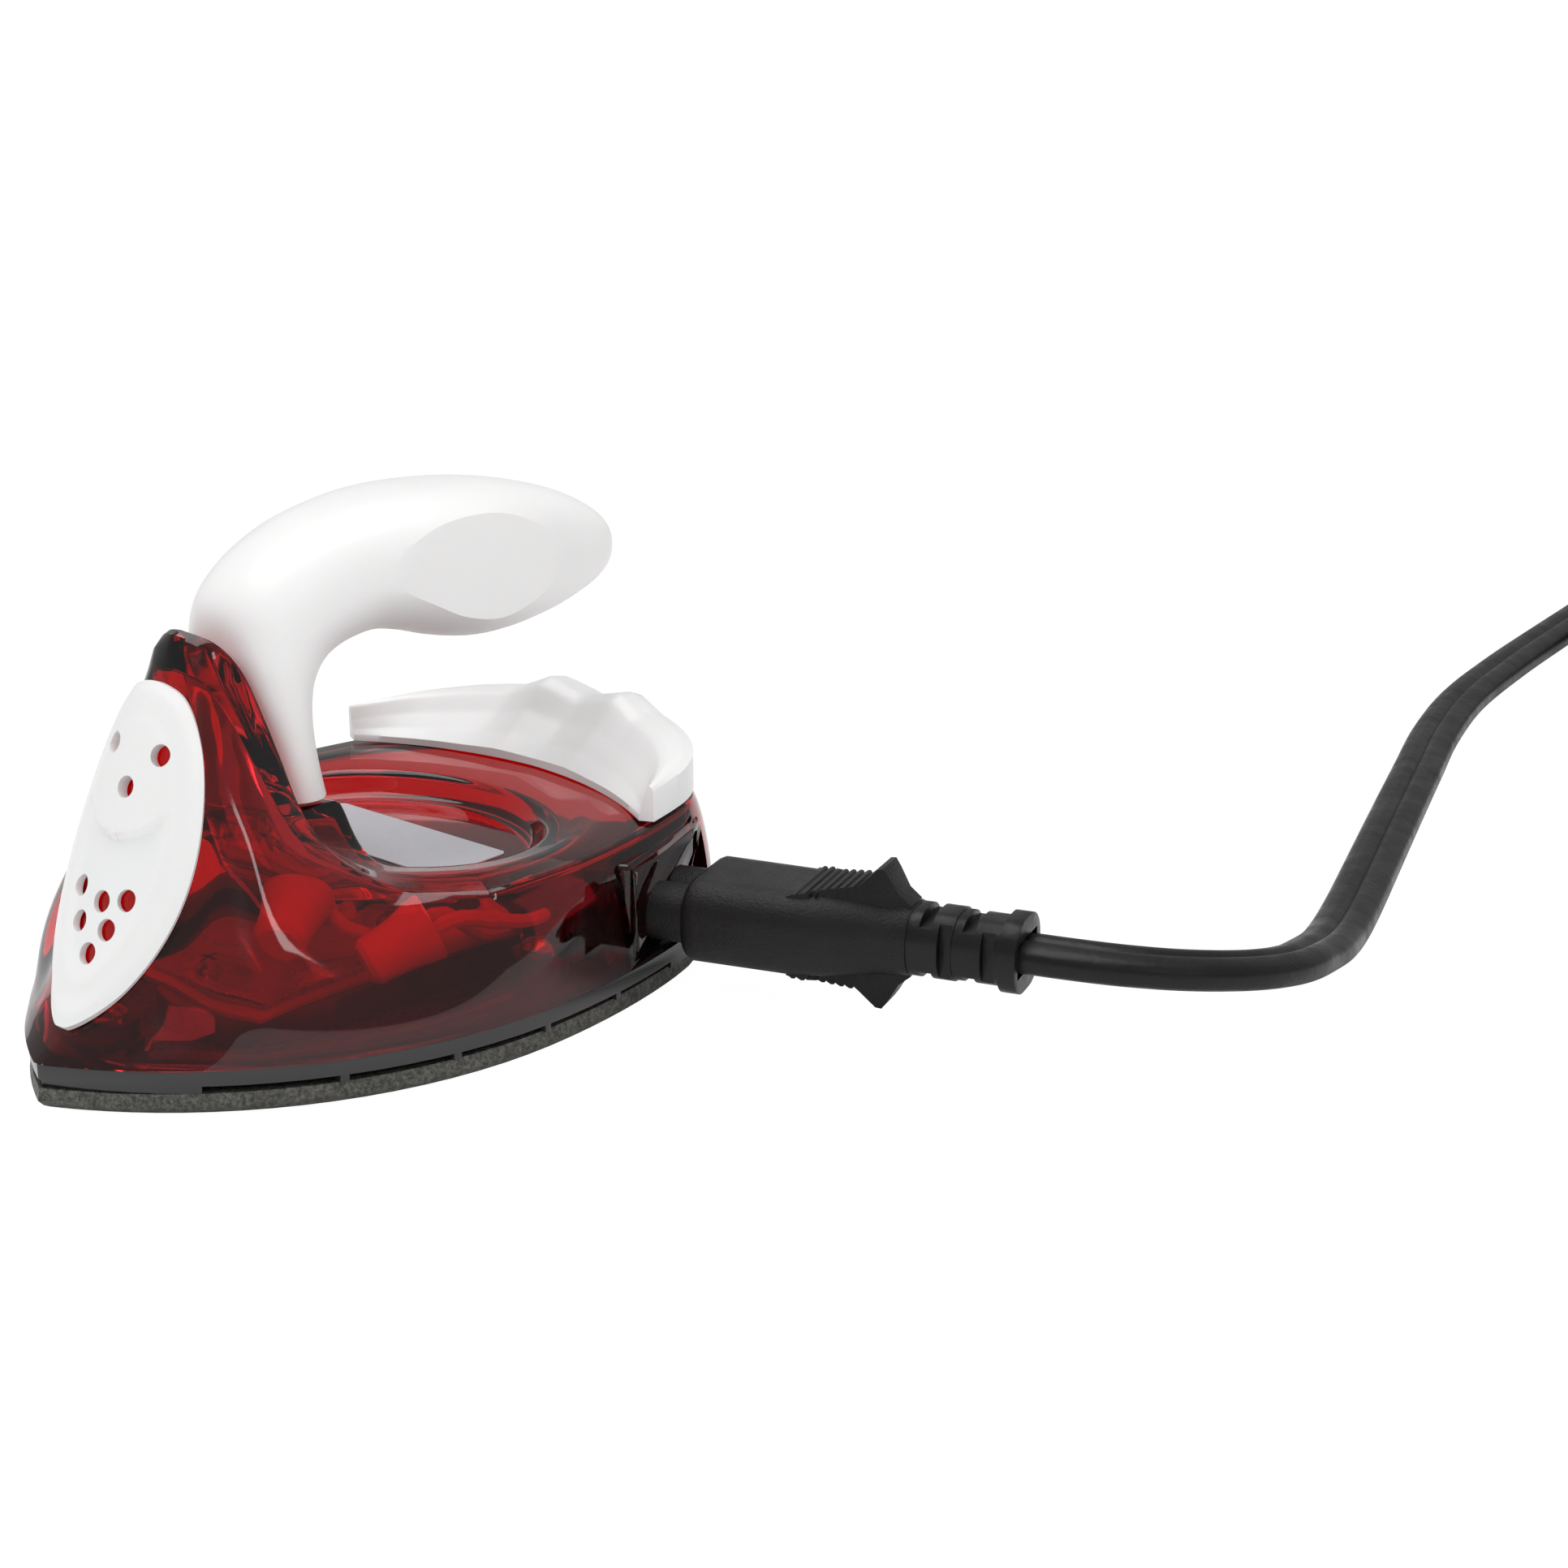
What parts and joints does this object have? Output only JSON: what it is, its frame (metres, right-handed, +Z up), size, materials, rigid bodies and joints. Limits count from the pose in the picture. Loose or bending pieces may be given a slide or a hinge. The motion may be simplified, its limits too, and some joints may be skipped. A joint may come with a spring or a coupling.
{
  "type": "clothes iron",
  "caption": "Small travel clothes iron: clear red shell with a white face-shaped front plate, open white handle, dark cast sole, side inlet with its detachable black mains lead.",
  "frame": {"origin": "underside of the soleplate, halfway between nose and tail, on the mid plane", "axes": "-X to the nose, +X to the tail, -Y out of the side with the inlet, +Z up from the surface the sole lies on"},
  "size_m": [0.4356, 0.2084, 0.0678],
  "materials": {
    "cast_sole": "speckled non-stick coat over cast aluminium",
    "heater_sheath": "matte",
    "steel": "satin",
    "mica": "matte",
    "ceramic": "matte",
    "crimp_cap": "milky, half gloss",
    "lead_sleeve": "woven glass sleeve",
    "black_gloss": "polished",
    "brass": "bright",
    "red_clear": "clear red, polished",
    "white_gloss": "polished",
    "black_matte": "fine moulded grain",
    "label": "silver film",
    "cord_black": "half gloss"
  },
  "bodies": {
    "iron": {"soleplate": "cast_sole", "heating_element": "heater_sheath", "heater_terminals": "steel", "mica_sheet": "mica", "element_clamp": "steel", "thermostat": "ceramic", "thermostat_lugs": "steel", "thermal_fuse": "ceramic", "clamp_screws": "steel", "crimp_caps": "crimp_cap", "lead_wires": "lead_sleeve", "heat_skirt": "black_gloss", "shell_screws": "brass", "body_shell": "red_clear", "face_plate": "white_gloss", "handle_left": "white_gloss", "handle_right": "white_gloss", "handle_screws": "steel", "heel_rest": "white_gloss", "inlet_housing": "black_matte", "inlet_pins": "brass", "tray_label": "label"},
    "cord_set": {"connector_body": "black_matte", "connector_nose": "black_matte", "connector_contacts": "brass", "connector_relief": "cord_black", "cord_lead": "cord_black", "cord_coil": "cord_black", "cord_tail": "cord_black", "cord_tie": "black_matte", "plug_relief": "cord_black", "plug_body": "black_matte", "plug_blades": "brass"}
  },
  "joints": [
    {"name": "connector_slide", "type": "slide", "parent": "iron", "child": "cord_set", "axis": [0.309, -0.9511, 0], "range_m": [-0.002, 0.016]}
  ]
}
